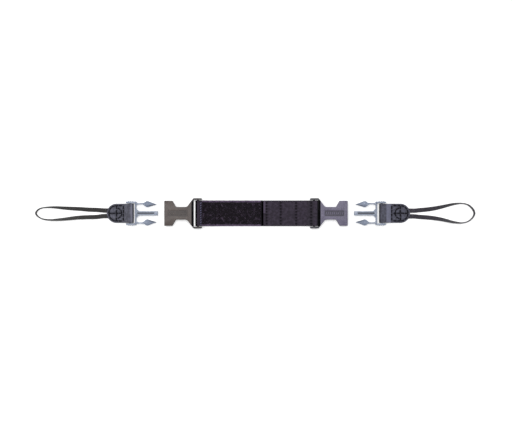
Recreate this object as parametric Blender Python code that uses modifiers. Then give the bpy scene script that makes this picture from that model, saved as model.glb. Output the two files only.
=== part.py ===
"""A quick-release accessory strap, lying flat and unbuckled.

A short webbing strap carries a hollow side-release socket at each end. Two loop connectors lie off its
ends, each a side-release plug with a sewn webbing tab and a flat tape loop. +X runs along the strap, +Z is
up, and the origin is on the ground, under the middle of everything but the tape loops.

Lengths are in millimetres, and mm() turns them into Blender's metres. Each side is built pointing outwards
along its own +X, and the left one is turned half a turn about Z.
"""

import math

import bmesh
import bpy
from mathutils import Vector

# Whole object. X positions of the strap and the connectors count from the middle of the strap.
LEFT_TAB_END = 146.4
RIGHT_TAB_END = 151.1
STRAP_MIDDLE_X = (LEFT_TAB_END - RIGHT_TAB_END) / 2
SOCKET_BAR_X = 56.9
PLUG_FACE_X = 117.3
THICKNESS = 8.0
MID_Z = THICKNESS / 2
GAP = 0.3
SEAT_GAP = 0.1

# Sockets, along their own +X from the webbing bar towards the mouth.
MOUTH_X = 32.7
MOUTH_HALF = 12.25
MOUTH_DEPTH = 7.4
MOUTH_WALL = 1.85
WAIST_HALF = 6.2
FRAME_HALF = 14.8
FRAME_END_X = -3.9
CAVITY_DEPTH = 21.4
PLATE = 1.4
SLOT_WALL_LOW_X = 4.2
SLOT_WALL_HIGH_X = 6.2
SLOT_HALF = 13.1
SOCKET_BAR_R = 1.0
RAIL_INNER = 2.4
RAIL_OUTER = 3.2
RAIL_HEIGHT = 1.2
RECESS = 0.3
PANEL_HALF = 2.8
PANEL_START_X = MOUTH_X - 22.5
PANEL_END_X = MOUTH_X - 3.5
WAIST_FILLET = 3.4
BEYOND = 9.0

# Plugs, along their own +X from the front of the crossbar outwards. The arms and the tongue point to -X.
CROSSBAR = 1.2
CROSSBAR_HALF_HEIGHT = 2.6
LUG_LENGTH = 9.8
LUG_HALF = 11.5
LUG_WALL = 1.65
TAB_BAR_X = 5.95
TAB_BAR_R = 1.1
TONGUE_LENGTH = 21.1
TONGUE_HALF = 2.05
TONGUE_THICK = 3.8
TONGUE_END_BLOCK = 3.4
GUSSET_HALF = 4.4
TONGUE_GROOVE_HALF = 0.95
TONGUE_GROOVE_DEPTH = 0.7
GRIP_RIBS = 3
GRIP_START_X = 3.2
GRIP_PITCH = 2.0
GRIP_WIDTH = 0.8
GRIP_PROUD = 0.35
GRIP_HALF_HEIGHT = 2.9
ARM_THICK = 4.6
ARM_ROOT_Y = 9.5
STEM = 1.3
ARM_ROOT_X = -(GAP + STEM / 2)
BARB_SHOULDER = 7.95
BARB_WIDEST = 9.8
BARB_HALF = 12.0
BARB_TIP = 18.8

# Webbing, tape and thread.
STRAP_WIDTH = 25.4
STRAP_THICK = 1.4
GROUND_Z = 0.02
STRAP_END_X = 7.35
HIDDEN_END_X = -38.0
LEVEL_X = SOCKET_BAR_X - 7
RIGHT_FOLD_SLACK = 1.7
RIGHT_FOLD_R = 2.1
FOLD_SLOPE = 0.52
PILE_START_X = -52.9
PILE_END_X = 6.4
PILE_THICK = 2.0
PILE_GROUND = 0.7
PILE_SLOPE = 0.62
SELVEDGE = 1.5
TAB_WIDTH = 19.0
TAB_THICK = 1.3
LEFT_RUN = 6.05
RIGHT_RUN = 9.05
LEFT_TAB_SLACK = 0.9
TAPE_WIDTH = 4.3
TAPE_THICK = 0.9
THREAD_R = 0.25
STITCH = 2.9
ROW_MARGIN = 0.8
TAIL_ROWS_X = (10.4, 24.3, 39.4, 54.2)
PILE_ROWS_X = (-39.6, -24.2, -9.3, 5.0)
GROOVE = 0.7


def mm(value):
    return value * 0.001


def point(x, y, z=0.0):
    return Vector((mm(x), mm(y), mm(z)))


def clear_scene():
    for obj in list(bpy.data.objects):
        bpy.data.objects.remove(obj, do_unlink=True)


def new_collection(name, hidden=False):
    collection = bpy.data.collections.new(name)
    bpy.context.scene.collection.children.link(collection)
    collection.hide_render = hidden
    return collection


def material(name, colour, roughness):
    made = bpy.data.materials.new(name)
    made.use_nodes = True
    shader = made.node_tree.nodes["Principled BSDF"]
    shader.inputs["Base Color"].default_value = (*colour, 1.0)
    shader.inputs["Roughness"].default_value = roughness
    shader.inputs["Metallic"].default_value = 0.0
    return made


def add_object(name, data, collection):
    obj = bpy.data.objects.new(name, data)
    collection.objects.link(obj)
    return obj


def as_cutter(obj):
    obj.hide_render = True
    obj.display_type = "WIRE"
    return obj


def box(name, low, high, collection):
    """A box between two corners."""
    mesh = bpy.data.meshes.new(name)
    shape = bmesh.new()
    bmesh.ops.create_cube(shape, size=1.0)
    size = point(*high) - point(*low)
    middle = (point(*high) + point(*low)) / 2
    bmesh.ops.scale(shape, vec=size, verts=shape.verts)
    bmesh.ops.translate(shape, vec=middle, verts=shape.verts)
    shape.to_mesh(mesh)
    shape.free()
    return add_object(name, mesh, collection)


def rod_along_y(name, x, z, radius, half_length, collection, segments=16):
    mesh = bpy.data.meshes.new(name)
    shape = bmesh.new()
    bmesh.ops.create_cone(
        shape,
        cap_ends=True,
        segments=segments,
        radius1=mm(radius),
        radius2=mm(radius),
        depth=mm(2 * half_length),
    )
    shape.to_mesh(mesh)
    shape.free()
    obj = add_object(name, mesh, collection)
    obj.rotation_euler = (math.pi / 2, 0, 0)
    obj.location = point(x, 0, z)
    return obj


def mesh_from_curve(obj, weld=0.00001):
    """Turns a curve object into a mesh object of the same name with its caps welded."""
    bpy.context.view_layer.update()
    evaluated = obj.evaluated_get(bpy.context.evaluated_depsgraph_get())
    mesh = bpy.data.meshes.new_from_object(evaluated)
    shape = bmesh.new()
    shape.from_mesh(mesh)
    bmesh.ops.remove_doubles(shape, verts=shape.verts, dist=weld)
    bmesh.ops.recalc_face_normals(shape, faces=shape.faces)
    shape.to_mesh(mesh)
    shape.free()
    name, matrix, collection = obj.name, obj.matrix_world.copy(), obj.users_collection[0]
    bpy.data.objects.remove(obj)
    made = add_object(name, mesh, collection)
    made.matrix_world = matrix
    return made


def outline_solid(name, outline, half_height, collection):
    """A flat outline in the XY plane, given thickness both ways along Z."""
    curve = bpy.data.curves.new(name, "CURVE")
    curve.dimensions = "2D"
    curve.fill_mode = "BOTH"
    curve.extrude = mm(half_height)
    spline = curve.splines.new("POLY")
    spline.points.add(len(outline) - 1)
    for place, (x, y) in zip(spline.points, outline):
        place.co = (mm(x), mm(y), 0, 1)
    spline.use_cyclic_u = True
    return mesh_from_curve(add_object(name, curve, collection))


def standing_solid(name, outline, half_width, collection):
    """An outline in the XZ plane, given width both ways along Y."""
    obj = outline_solid(name, outline, half_width, collection)
    obj.rotation_euler = (math.pi / 2, 0, 0)
    bake_transform(obj)
    return obj


def bake_transform(obj):
    """Moves an object's place and turn into its mesh."""
    bpy.context.view_layer.update()
    obj.data.transform(obj.matrix_world)
    obj.matrix_world.identity()


def arc(centre, radius, start, end, steps):
    """Points on an arc, from one angle in degrees to another."""
    angles = [math.radians(start + (end - start) * i / steps) for i in range(steps + 1)]
    return [(centre[0] + radius * math.cos(a), centre[1] + radius * math.sin(a)) for a in angles]


def mirrored(half):
    """A closed outline from the half of it with y above 0, listed along +X."""
    return half + [(x, -y) for x, y in reversed(half)]


def band_outline(path, thickness):
    """The closed outline of a band that follows a path of (x, z) points."""
    sides = ([], [])
    for i, here in enumerate(path):
        before = Vector(path[max(i - 1, 0)])
        after = Vector(path[min(i + 1, len(path) - 1)])
        here = Vector(here)
        into = (here - before).normalized() if i else (after - here).normalized()
        out = (after - here).normalized() if i < len(path) - 1 else into
        normal = Vector((-(into + out).y, (into + out).x)).normalized()
        reach = thickness / 2 / max(normal.dot(Vector((-into.y, into.x))), 0.5)
        sides[0].append(tuple(here + normal * reach))
        sides[1].append(tuple(here - normal * reach))
    return sides[0] + sides[1][::-1]


def join_or_cut(obj, operation, *others):
    """Boolean modifiers that join the others to the object, or cut them from it."""
    for other in others:
        as_cutter(other)
        step = obj.modifiers.new(f"{operation.lower()} {other.name}", "BOOLEAN")
        step.operation = operation
        step.object = other
        step.solver = "EXACT"


def soften_edges(obj, width, segments=2, angle=40):
    bevel = obj.modifiers.new("softened edges", "BEVEL")
    bevel.width = mm(width)
    bevel.segments = segments
    bevel.limit_method = "ANGLE"
    bevel.angle_limit = math.radians(angle)
    bevel.harden_normals = False


def finish_piece(obj, parts, made_of, parent=None):
    """Puts a finished piece in the parts collection, with its material, under its parent."""
    for collection in list(obj.users_collection):
        collection.objects.unlink(obj)
    parts.objects.link(obj)
    obj.hide_render = False
    obj.display_type = "TEXTURED"
    if not obj.data.materials:
        obj.data.materials.append(made_of)
    if obj.type == "MESH":
        obj.data.shade_smooth()
        obj.data.set_sharp_from_angle(angle=math.radians(35))
    if parent:
        obj.parent = parent
    return obj


def empty(name, location, half_turn, collection, parent=None):
    obj = add_object(name, None, collection)
    obj.parent = parent
    obj.location = location
    obj.rotation_euler = (0, 0, math.pi if half_turn else 0)
    return obj


# Sockets


def socket_half_outline():
    """The socket's plan from its webbing end to its mouth, with y above 0."""
    corner = 1.0
    waist_end = MOUTH_X - 20.4
    frame_corner = MOUTH_X - 28.6
    half = arc((FRAME_END_X + corner, FRAME_HALF - corner), corner, 180, 90, 3)
    half += arc((frame_corner - 0.8, FRAME_HALF - 2.0), 2.0, 90, 50, 3)
    half += arc((waist_end, WAIST_HALF + WAIST_FILLET), WAIST_FILLET, 220, 270, 4)
    half += [(MOUTH_X - 11.6, WAIST_HALF), (MOUTH_X - 10.8, WAIST_HALF + 0.45)]
    half += [(MOUTH_X - MOUTH_DEPTH - 0.6, MOUTH_HALF - 0.7), (MOUTH_X - MOUTH_DEPTH, MOUTH_HALF)]
    half += arc((MOUTH_X - 0.5, MOUTH_HALF - 0.5), 0.5, 90, 0, 2)
    return half


def slot_outline():
    """The webbing slot seen from the side, with its wall leaning outwards, wider at the top."""
    middle = (SLOT_WALL_LOW_X + SLOT_WALL_HIGH_X) / 2
    lean = (SLOT_WALL_HIGH_X - SLOT_WALL_LOW_X) / THICKNESS * BEYOND
    start = FRAME_END_X - 2
    return [(start, -BEYOND), (middle - lean, -BEYOND), (middle + lean, BEYOND), (start, BEYOND)]


def socket_cutters(side, cutters):
    """The spaces in a socket: its mouth, open-sided chamber, webbing slot and sunk panel."""
    low, high = PLATE - MID_Z, MID_Z - PLATE
    mouth_inside = MOUTH_HALF - MOUTH_WALL
    back = MOUTH_X - CAVITY_DEPTH
    chamber_front = MOUTH_X - MOUTH_DEPTH
    mouth_start, mouth_end = chamber_front - 1, MOUTH_X + 2
    mouth = box(f"{side} mouth", (mouth_start, -mouth_inside, low), (mouth_end, mouth_inside, high), cutters)
    outside = FRAME_HALF + 5
    chamber = box(f"{side} chamber", (back, -outside, low), (chamber_front, outside, high), cutters)
    slot = standing_solid(f"{side} slot", slot_outline(), SLOT_HALF, cutters)
    half = [
        (PANEL_START_X, PANEL_HALF - 0.5),
        (PANEL_START_X + 0.5, PANEL_HALF),
        (PANEL_END_X - 0.5, PANEL_HALF),
        (PANEL_END_X, PANEL_HALF - 0.5),
    ]
    panel = outline_solid(f"{side} panel", mirrored(half), RECESS, cutters)
    panel.location.z = mm(MID_Z)
    return mouth, chamber, slot, panel


def socket_additions(side, cutters):
    """The webbing bar, and the rails that guide the tongue, on both plates."""
    added = [rod_along_y(f"{side} webbing bar", 0, 0, SOCKET_BAR_R, SLOT_HALF + 0.6, cutters)]
    rail_back, rail_front = MOUTH_X - CAVITY_DEPTH - 0.5, MOUTH_X - MOUTH_DEPTH - 0.2
    plate_inside = MID_Z - PLATE
    for y_sign in (-1, 1):
        for z_sign in (-1, 1):
            y = sorted((y_sign * RAIL_INNER, y_sign * RAIL_OUTER))
            z = sorted((z_sign * (plate_inside - RAIL_HEIGHT), z_sign * (plate_inside + 0.5)))
            low, high = (rail_back, y[0], z[0]), (rail_front, y[1], z[1])
            added.append(box(f"{side} rail {y_sign} {z_sign}", low, high, cutters))
    return added


def make_socket(side, parts, cutters, made_of, pivot):
    body = outline_solid(f"{side}_socket", mirrored(socket_half_outline()), MID_Z, cutters)
    soften_edges(body, 0.7, segments=3)
    join_or_cut(body, "DIFFERENCE", *socket_cutters(side, cutters))
    join_or_cut(body, "UNION", *socket_additions(side, cutters))
    apply_modifiers(body)
    return finish_piece(body, parts, made_of, pivot)


def apply_modifiers(obj):
    """Keeps the evaluated mesh, which frees the piece from its cutters' places."""
    bpy.context.view_layer.update()
    evaluated = obj.evaluated_get(bpy.context.evaluated_depsgraph_get())
    mesh = bpy.data.meshes.new_from_object(evaluated)
    obj.modifiers.clear()
    obj.data = mesh


# Plugs


def lug_half_outline():
    """One lug's plan, from the crossbar outwards."""
    inner = LUG_HALF - LUG_WALL
    return (
        [(0, inner), (0, LUG_HALF)]
        + arc((LUG_LENGTH - 0.9, LUG_HALF - 0.9), 0.9, 90, 0, 3)
        + [(LUG_LENGTH, inner)]
    )


def gusset(name, y_sign, cutters):
    """The small triangle between the tongue and the crossbar."""
    inside, reach = CROSSBAR / 2, -2.6
    outline = [
        (inside, 0),
        (inside, y_sign * GUSSET_HALF),
        (-0.3, y_sign * (GUSSET_HALF - 0.2)),
        (reach, y_sign * (TONGUE_HALF - 0.2)),
        (reach, 0),
    ]
    if y_sign < 0:
        outline.reverse()
    return outline_solid(name, outline, TONGUE_THICK / 2 - 0.3, cutters)


def make_plug(side, parts, cutters, made_of, slide):
    """The crossbar, the two lugs with their grip ribs, the bar for the tab, and the tongue."""
    height = CROSSBAR_HALF_HEIGHT
    body = box(f"{side}_plug", (0, -LUG_HALF, -height), (CROSSBAR, LUG_HALF, height), cutters)
    soften_edges(body, 0.4)
    added = [rod_along_y(f"{side} tab bar", TAB_BAR_X, 0, TAB_BAR_R, LUG_HALF - 0.8, cutters)]
    half = lug_half_outline()
    for y_sign in (-1, 1):
        outline = [(x, y * y_sign) for x, y in half]
        lug = outline_solid(f"{side} lug {y_sign}", outline[::-y_sign], MID_Z, cutters)
        soften_edges(lug, 0.5)
        added.append(lug)
        for i in range(GRIP_RIBS):
            x = GRIP_START_X + GRIP_PITCH * i
            y = sorted((y_sign * (LUG_HALF - 0.7), y_sign * (LUG_HALF + GRIP_PROUD)))
            rib = box(
                f"{side} grip {y_sign} {i}",
                (x, y[0], -GRIP_HALF_HEIGHT),
                (x + GRIP_WIDTH, y[1], GRIP_HALF_HEIGHT),
                cutters,
            )
            added.append(rib)
    half_thick = TONGUE_THICK / 2
    tongue = box(
        f"{side} tongue",
        (-TONGUE_LENGTH, -TONGUE_HALF, -half_thick),
        (CROSSBAR / 2, TONGUE_HALF, half_thick),
        cutters,
    )
    soften_edges(tongue, 0.35)
    added.append(tongue)
    added += [gusset(f"{side} gusset {y_sign}", y_sign, cutters) for y_sign in (-1, 1)]
    join_or_cut(body, "UNION", *added)
    grooves = [
        box(
            f"{side} groove {z}",
            (-TONGUE_LENGTH + TONGUE_END_BLOCK, -TONGUE_GROOVE_HALF, z - TONGUE_GROOVE_DEPTH),
            (-1.2, TONGUE_GROOVE_HALF, z + TONGUE_GROOVE_DEPTH),
            cutters,
        )
        for z in (-half_thick, half_thick)
    ]
    join_or_cut(body, "DIFFERENCE", *grooves)
    apply_modifiers(body)
    return finish_piece(body, parts, made_of, slide)


def arm_outline():
    """The plan of the arm on the +Y side, about its root, with its tip towards -X."""
    root = -ARM_ROOT_X
    reach = [
        (5.7, STEM / 2),
        (BARB_SHOULDER - 0.1, 0.75),
        (BARB_SHOULDER + 0.1, BARB_HALF - ARM_ROOT_Y - 0.4),
        (BARB_WIDEST, BARB_HALF - ARM_ROOT_Y),
        (BARB_WIDEST + 0.8, BARB_HALF - ARM_ROOT_Y - 0.15),
        (BARB_TIP - 0.5, -0.5),
        (BARB_TIP, -0.8),
        (BARB_TIP - 0.5, -1.05),
        (BARB_WIDEST + 1.0, -3.45),
        (BARB_WIDEST, -3.6),
        (BARB_WIDEST - 1.2, -3.2),
        (5.9, -0.85),
        (5.4, -STEM / 2),
    ]
    outline = [(root - f, y) for f, y in reach]
    return outline + arc((0, 0), STEM / 2, 270, 450, 6)


def make_arm(name, y_sign, parts, cutters, made_of, slide):
    outline = [(x, y * y_sign) for x, y in arm_outline()]
    arm = outline_solid(name, outline[::y_sign], ARM_THICK / 2, cutters)
    soften_edges(arm, 0.4, angle=60)
    apply_modifiers(arm)
    arm.location = point(ARM_ROOT_X, y_sign * ARM_ROOT_Y)
    return finish_piece(arm, parts, made_of, slide)


# Webbing tabs and their stitching, about the tab bar


def tab_path(length, run, slack):
    """The tab's fold from its upper end, over the bar, to its lower end, about the bar it hangs slack on."""
    radius = TAB_BAR_R + GAP + TAB_THICK / 2
    lower = GROUND_Z + TAB_THICK / 2 - MID_Z
    upper = lower + TAB_THICK + GAP
    wrap = arc((0, 0), radius, 60, 90, 2)[:-1] + arc((-slack, 0), radius, 90, 270, 8)
    return [(length, upper), (run, upper)] + wrap + [(run, lower), (length, lower)]


def tab_plan(length, margin):
    """The tab's plan: straight sides and a half-round end, drawn in by a margin."""
    half = TAB_WIDTH / 2 - margin
    radius = half
    end = length - margin
    round_end = arc((end - radius, 0), radius, -90, 90, 16)
    return [(end - radius, -half)] + round_end[1:-1] + [(end - radius, half)]


def make_tab(side, length, run, slack, parts, cutters, made_of, pivot):
    outline = band_outline(tab_path(length, run, slack), TAB_THICK)
    tab = standing_solid(f"{side}_tab_webbing", outline, TAB_WIDTH / 2, cutters)
    round_start, wide = length - TAB_WIDTH / 2, TAB_WIDTH / 2 + 1.5
    plan = [(-BEYOND, -wide), (round_start, -wide)]
    plan += tab_plan(length, 0)
    plan += [(round_start, wide), (-BEYOND, wide)]
    shape = outline_solid(f"{side} tab plan", plan, BEYOND, cutters)
    join_or_cut(tab, "INTERSECT", shape)
    apply_modifiers(tab)
    return finish_piece(tab, parts, made_of, pivot)


def make_tab_stitching(side, length, run, parts, cutters, made_of, pivot):
    """The thread on the tab: a round-ended outline, two rows across it and one along it."""
    start = run + 0.6
    outer, inner = 1.5, 1.5 + 2 * THREAD_R
    top = GROUND_Z + 2 * TAB_THICK + GAP - MID_Z
    middle = top + SEAT_GAP + THREAD_R
    ring_edges, hole_edges = (
        tab_plan(length, margin) + [(near, TAB_WIDTH / 2 - margin), (near, margin - TAB_WIDTH / 2)]
        for margin, near in ((outer, start), (inner, start + 2 * THREAD_R))
    )
    ring = outline_solid(f"{side}_tab_stitching", ring_edges, THREAD_R, cutters)
    hole = outline_solid(f"{side} stitch hole", hole_edges, THREAD_R * 3, cutters)
    join_or_cut(ring, "DIFFERENCE", hole)
    middle_x = length - TAB_WIDTH / 2
    half = TAB_WIDTH / 2 - outer - THREAD_R
    across = box(
        f"{side} stitch across",
        (middle_x - THREAD_R, -half, -THREAD_R * 0.9),
        (middle_x + THREAD_R, half, THREAD_R * 0.9),
        cutters,
    )
    along = box(
        f"{side} stitch along",
        (start + THREAD_R, -THREAD_R, -THREAD_R * 0.8),
        (length - outer - 0.1, THREAD_R, THREAD_R * 0.8),
        cutters,
    )
    join_or_cut(ring, "UNION", across, along)
    apply_modifiers(ring)
    ring.location.z = mm(middle)
    return finish_piece(ring, parts, made_of, pivot)


# The strap, from its middle


def strap_path():
    """The strap's fold: the hidden left end, the left bar, the ground run, and back over the right bar."""
    left_radius = SOCKET_BAR_R + GAP + STRAP_THICK / 2
    right_middle = SOCKET_BAR_X + RIGHT_FOLD_SLACK
    right_top = MID_Z + RIGHT_FOLD_R
    ground = GROUND_Z + STRAP_THICK / 2
    upper = ground + STRAP_THICK + GAP
    path = [(HIDDEN_END_X, upper), (-LEVEL_X, upper)]
    path += arc((-SOCKET_BAR_X, MID_Z), left_radius, 75, 285, 10)
    path += [(-LEVEL_X, ground), (LEVEL_X + 1, ground)]
    path += arc((right_middle, MID_Z), RIGHT_FOLD_R, -75, 90, 9)
    path += [(SOCKET_BAR_X - 0.3, right_top), (LEVEL_X, upper), (STRAP_END_X, upper)]
    return path


def upper_surface(x):
    """Height of the webbing that the stitches and the pile tape lie on."""
    if HIDDEN_END_X < x < STRAP_END_X:
        return GROUND_Z + STRAP_THICK
    return GROUND_Z + 2 * STRAP_THICK + GAP + max(abs(x) - LEVEL_X, 0) * FOLD_SLOPE


def make_strap(parts, cutters, made_of, middle):
    strap = standing_solid("strap_webbing", band_outline(strap_path(), STRAP_THICK), STRAP_WIDTH / 2, cutters)
    return finish_piece(strap, parts, made_of, middle)


def pile_bottom():
    """The underside of the pile tape, which lies over the strap's folded end and then on the strap."""
    flat = GROUND_Z + 2 * STRAP_THICK + GAP + SEAT_GAP + 0.05
    ground = GROUND_Z + STRAP_THICK + SEAT_GAP
    return [
        (PILE_START_X, flat - (LEVEL_X + PILE_START_X) * PILE_SLOPE),
        (0.4 - LEVEL_X, flat),
        (HIDDEN_END_X + 0.4, flat),
        (HIDDEN_END_X + 3.2, ground),
        (PILE_END_X, ground),
    ]


def pile_solid(name, height, half_width, cutters):
    bottom = pile_bottom()
    return standing_solid(name, bottom + [(x, z + height) for x, z in reversed(bottom)], half_width, cutters)


def pile_top(x):
    """Height of the pile's surface above the ground, on its two level stretches."""
    level = GROUND_Z + STRAP_THICK + SEAT_GAP + PILE_THICK
    return level + (STRAP_THICK + GAP + 0.05 if x < HIDDEN_END_X else 0)


def make_pile(parts, cutters, made_of, middle):
    """The woven ground of the tape with its plain selvedges, and the standing pile between them."""
    pile = pile_solid("pile_tape", PILE_THICK, STRAP_WIDTH / 2 - SELVEDGE, cutters)
    ground = pile_solid("pile ground", PILE_GROUND, STRAP_WIDTH / 2, cutters)
    join_or_cut(pile, "UNION", ground)
    grooves = []
    for i, x in enumerate(PILE_ROWS_X):
        top = pile_top(x)
        low, high = (x - 0.6, -STRAP_WIDTH, top - GROOVE), (x + 0.6, STRAP_WIDTH, top + BEYOND)
        grooves.append(box(f"groove {i}", low, high, cutters))
    join_or_cut(pile, "DIFFERENCE", *grooves)
    apply_modifiers(pile)
    return finish_piece(pile, parts, made_of, middle)


def thread(name, route, parts, made_of, middle):
    """A round thread through a list of points."""
    curve = bpy.data.curves.new(name, "CURVE")
    curve.dimensions = "3D"
    curve.bevel_depth = mm(THREAD_R)
    curve.bevel_resolution = 1
    curve.use_fill_caps = True
    spline = curve.splines.new("POLY")
    spline.points.add(len(route) - 1)
    for place, (x, y, z) in zip(spline.points, route):
        place.co = (mm(x), mm(y), mm(z), 1)
    return finish_piece(add_object(name, curve, parts), parts, made_of, middle)


def row_route(x, z, half):
    """A straight row across the strap, each stitch standing a little above the holes at its ends."""
    count = int(2 * half / STITCH)
    route = []
    for i in range(2 * count + 1):
        y = -half + i * half / count
        route.append((x, y, z + (0.12 if i % 2 else 0.0)))
    return route


def make_strap_threads(parts, made_of, middle):
    half = STRAP_WIDTH / 2 - ROW_MARGIN
    for i, x in enumerate(TAIL_ROWS_X, 1):
        lift = SEAT_GAP + THREAD_R * (1.6 if x > LEVEL_X else 1.0)
        thread(f"tail_stitch_row_{i}", row_route(x, upper_surface(x) + lift, half), parts, made_of, middle)
    for i, x in enumerate(PILE_ROWS_X, 1):
        z = pile_top(x) - GROOVE + SEAT_GAP + THREAD_R
        thread(f"pile_stitch_row_{i}", row_route(x, z, half - SELVEDGE), parts, made_of, middle)
    near, far = PILE_START_X - 0.5, PILE_START_X - 1.7
    count = 16
    route = []
    for i in range(count + 1):
        x = near if i % 2 else far
        route.append((x, -half + 2 * half * i / count, upper_surface(x) + 2.0 * THREAD_R + SEAT_GAP))
    thread("edge_zigzag_stitches", route, parts, made_of, middle)


# Tape loops. Each route is one strand, the far bend, and the other strand, as x outwards from the strap's
# middle, y, and how far the tape has turned from lying flat, in degrees.

LEFT_LOOP = [
    (146.8, -2.7, 0), (151.0, -2.9, 4), (156.8, -3.6, 14), (164.6, -3.8, 20), (172.5, -4.1, 28),
    (180.3, -4.8, 38), (188.2, -5.7, 50), (196.0, -6.3, 64), (201.9, -6.5, 76), (207.8, -5.9, 84),
    (211.7, -4.6, 90), (214.5, -2.6, 86), (216.0, 0.0, 84), (214.5, 2.8, 84), (211.7, 4.7, 86),
    (207.8, 5.6, 86), (201.9, 5.9, 74), (196.0, 5.7, 60), (188.2, 5.1, 46), (180.3, 4.6, 36),
    (172.5, 4.2, 28), (164.6, 3.6, 20), (156.8, 3.3, 14), (151.0, 2.9, 4), (146.8, 2.7, 0),
]
RIGHT_LOOP = [
    (151.5, 2.6, 0), (156.0, 2.6, 2), (161.0, 3.1, 6), (168.6, 3.8, 12), (176.4, 5.0, 26),
    (184.2, 6.7, 42), (192.1, 8.6, 58), (198.0, 9.5, 74), (202.4, 9.7, 86), (206.8, 8.8, 86),
    (209.9, 7.0, 79), (212.9, 3.8, 77), (214.3, 0.0, 80), (212.9, -3.8, 86), (209.9, -6.8, 90),
    (206.8, -8.5, 90), (202.4, -9.4, 84), (198.0, -9.2, 72), (192.1, -8.3, 56), (184.2, -6.4, 40),
    (176.4, -5.0, 26), (168.6, -4.1, 12), (161.0, -3.6, 6), (156.0, -3.1, 2), (151.5, -3.0, 0),
]
TAPE_POINTS = 72


def smooth_route(knots, count):
    """Evenly counted points on a Catmull-Rom curve through the knots."""
    padded = [knots[0], *knots, knots[-1]]
    spans = len(knots) - 1
    found = []
    for i in range(count):
        place = spans * i / (count - 1)
        span = min(int(place), spans - 1)
        t = place - span
        a, b, c, d = (Vector(padded[span + k]) for k in range(4))
        found.append(
            0.5 * (2 * b + (c - a) * t + (2 * a - 5 * b + 4 * c - d) * t * t + (3 * b - a - 3 * c + d) * t**3)
        )
    return found


def tape_height(turn, near_tab):
    """Height of the tape's middle, resting on its lower edge, and raised where it leaves the tab."""
    lying = TAPE_THICK / 2 * abs(math.cos(turn)) + TAPE_WIDTH / 2 * abs(math.sin(turn))
    leaving = GROUND_Z + TAB_THICK + GAP / 2
    rest = lying + 2 * GROUND_Z
    return rest + (max(leaving - rest, 0)) * near_tab


def make_tape(name, knots, parts, made_of, side_sign, tab_end):
    curve = bpy.data.curves.new(name, "CURVE")
    curve.dimensions = "3D"
    curve.twist_mode = "Z_UP"
    curve.extrude = mm((TAPE_WIDTH - TAPE_THICK) / 2)
    curve.bevel_depth = mm(TAPE_THICK / 2)
    curve.bevel_resolution = 2
    curve.use_fill_caps = True
    spline = curve.splines.new("POLY")
    spline.points.add(TAPE_POINTS - 1)
    half = TAPE_POINTS // 2
    for i, (place, (x, y, turn)) in enumerate(zip(spline.points, smooth_route(knots, TAPE_POINTS))):
        turn = math.radians(min(max(turn, 0), 90))
        near_tab = max(1 - (x - tab_end) / 12, 0) ** 2 if x > tab_end else 1
        z = tape_height(turn, near_tab)
        place.co = (mm(side_sign * x), mm(y), mm(z), 1)
        place.tilt = math.pi / 2 - turn
    return finish_piece(add_object(name, curve, parts), parts, made_of)


def build():
    clear_scene()
    parts = new_collection("quick_release_strap")
    cutters = new_collection("cutters", hidden=True)
    socket_plastic = material("socket_plastic", (0.115, 0.098, 0.105), 0.5)
    plug_plastic = material("plug_plastic", (0.20, 0.24, 0.32), 0.4)
    webbing = material("strap_webbing", (0.035, 0.028, 0.042), 0.85)
    tab_weave = material("tab_webbing", (0.075, 0.075, 0.092), 0.85)
    pile = material("pile", (0.008, 0.006, 0.010), 1.0)
    tape = material("tape", (0.04, 0.038, 0.038), 0.8)
    black_thread = material("black_thread", (0.01, 0.01, 0.012), 0.8)
    pale_thread = material("purple_grey_thread", (0.10, 0.09, 0.13), 0.8)

    middle = empty("strap middle", point(STRAP_MIDDLE_X, 0), False, cutters)
    make_strap(parts, cutters, webbing, middle)
    make_pile(parts, cutters, pile, middle)
    make_strap_threads(parts, black_thread, middle)
    bpy.data.objects["edge_zigzag_stitches"].data.materials[0] = pale_thread

    sides = (
        ("left", -1, LEFT_TAB_END, LEFT_RUN, LEFT_TAB_SLACK),
        ("right", 1, RIGHT_TAB_END, RIGHT_RUN, 0.0),
    )
    for side, sign, tab_end, run, slack in sides:
        turned = sign < 0
        pivot = empty(f"{side} socket pivot", point(sign * SOCKET_BAR_X, 0, MID_Z), turned, cutters, middle)
        make_socket(side, parts, cutters, socket_plastic, pivot)
        slide = empty(f"{side} plug slide", point(sign * PLUG_FACE_X, 0, MID_Z), turned, cutters, middle)
        make_plug(side, parts, cutters, plug_plastic, slide)
        for place, y_sign in (("front", -1), ("back", 1)):
            # The half turn swaps the left connector's sides.
            arm_sign = y_sign * sign
            make_arm(f"{side}_{place}_arm", arm_sign, parts, cutters, plug_plastic, slide)
        tab_pivot = empty(
            f"{side} tab pivot", point(sign * (PLUG_FACE_X + TAB_BAR_X), 0, MID_Z), turned, cutters, middle
        )
        length = tab_end - PLUG_FACE_X - TAB_BAR_X
        make_tab(side, length, run, slack, parts, cutters, tab_weave, tab_pivot)
        make_tab_stitching(side, length, run, parts, cutters, black_thread, tab_pivot)

    for name, knots, sign, tab_end in (
        ("left_tape_loop", LEFT_LOOP, -1, LEFT_TAB_END),
        ("right_tape_loop", RIGHT_LOOP, 1, RIGHT_TAB_END),
    ):
        loop = make_tape(name, knots, parts, tape, sign, tab_end)
        loop.parent = middle


build()
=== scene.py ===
"""Looks for the quick-release accessory strap: webbing, pile, thread, tape and moulded plastic.

Lengths are in millimetres and become metres in mm() and point(). Measures that part.py has too keep its
values, so each piece lies where its CAD node does.
"""

import math
import random

import bmesh
import bpy
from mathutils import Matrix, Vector, noise


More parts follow.
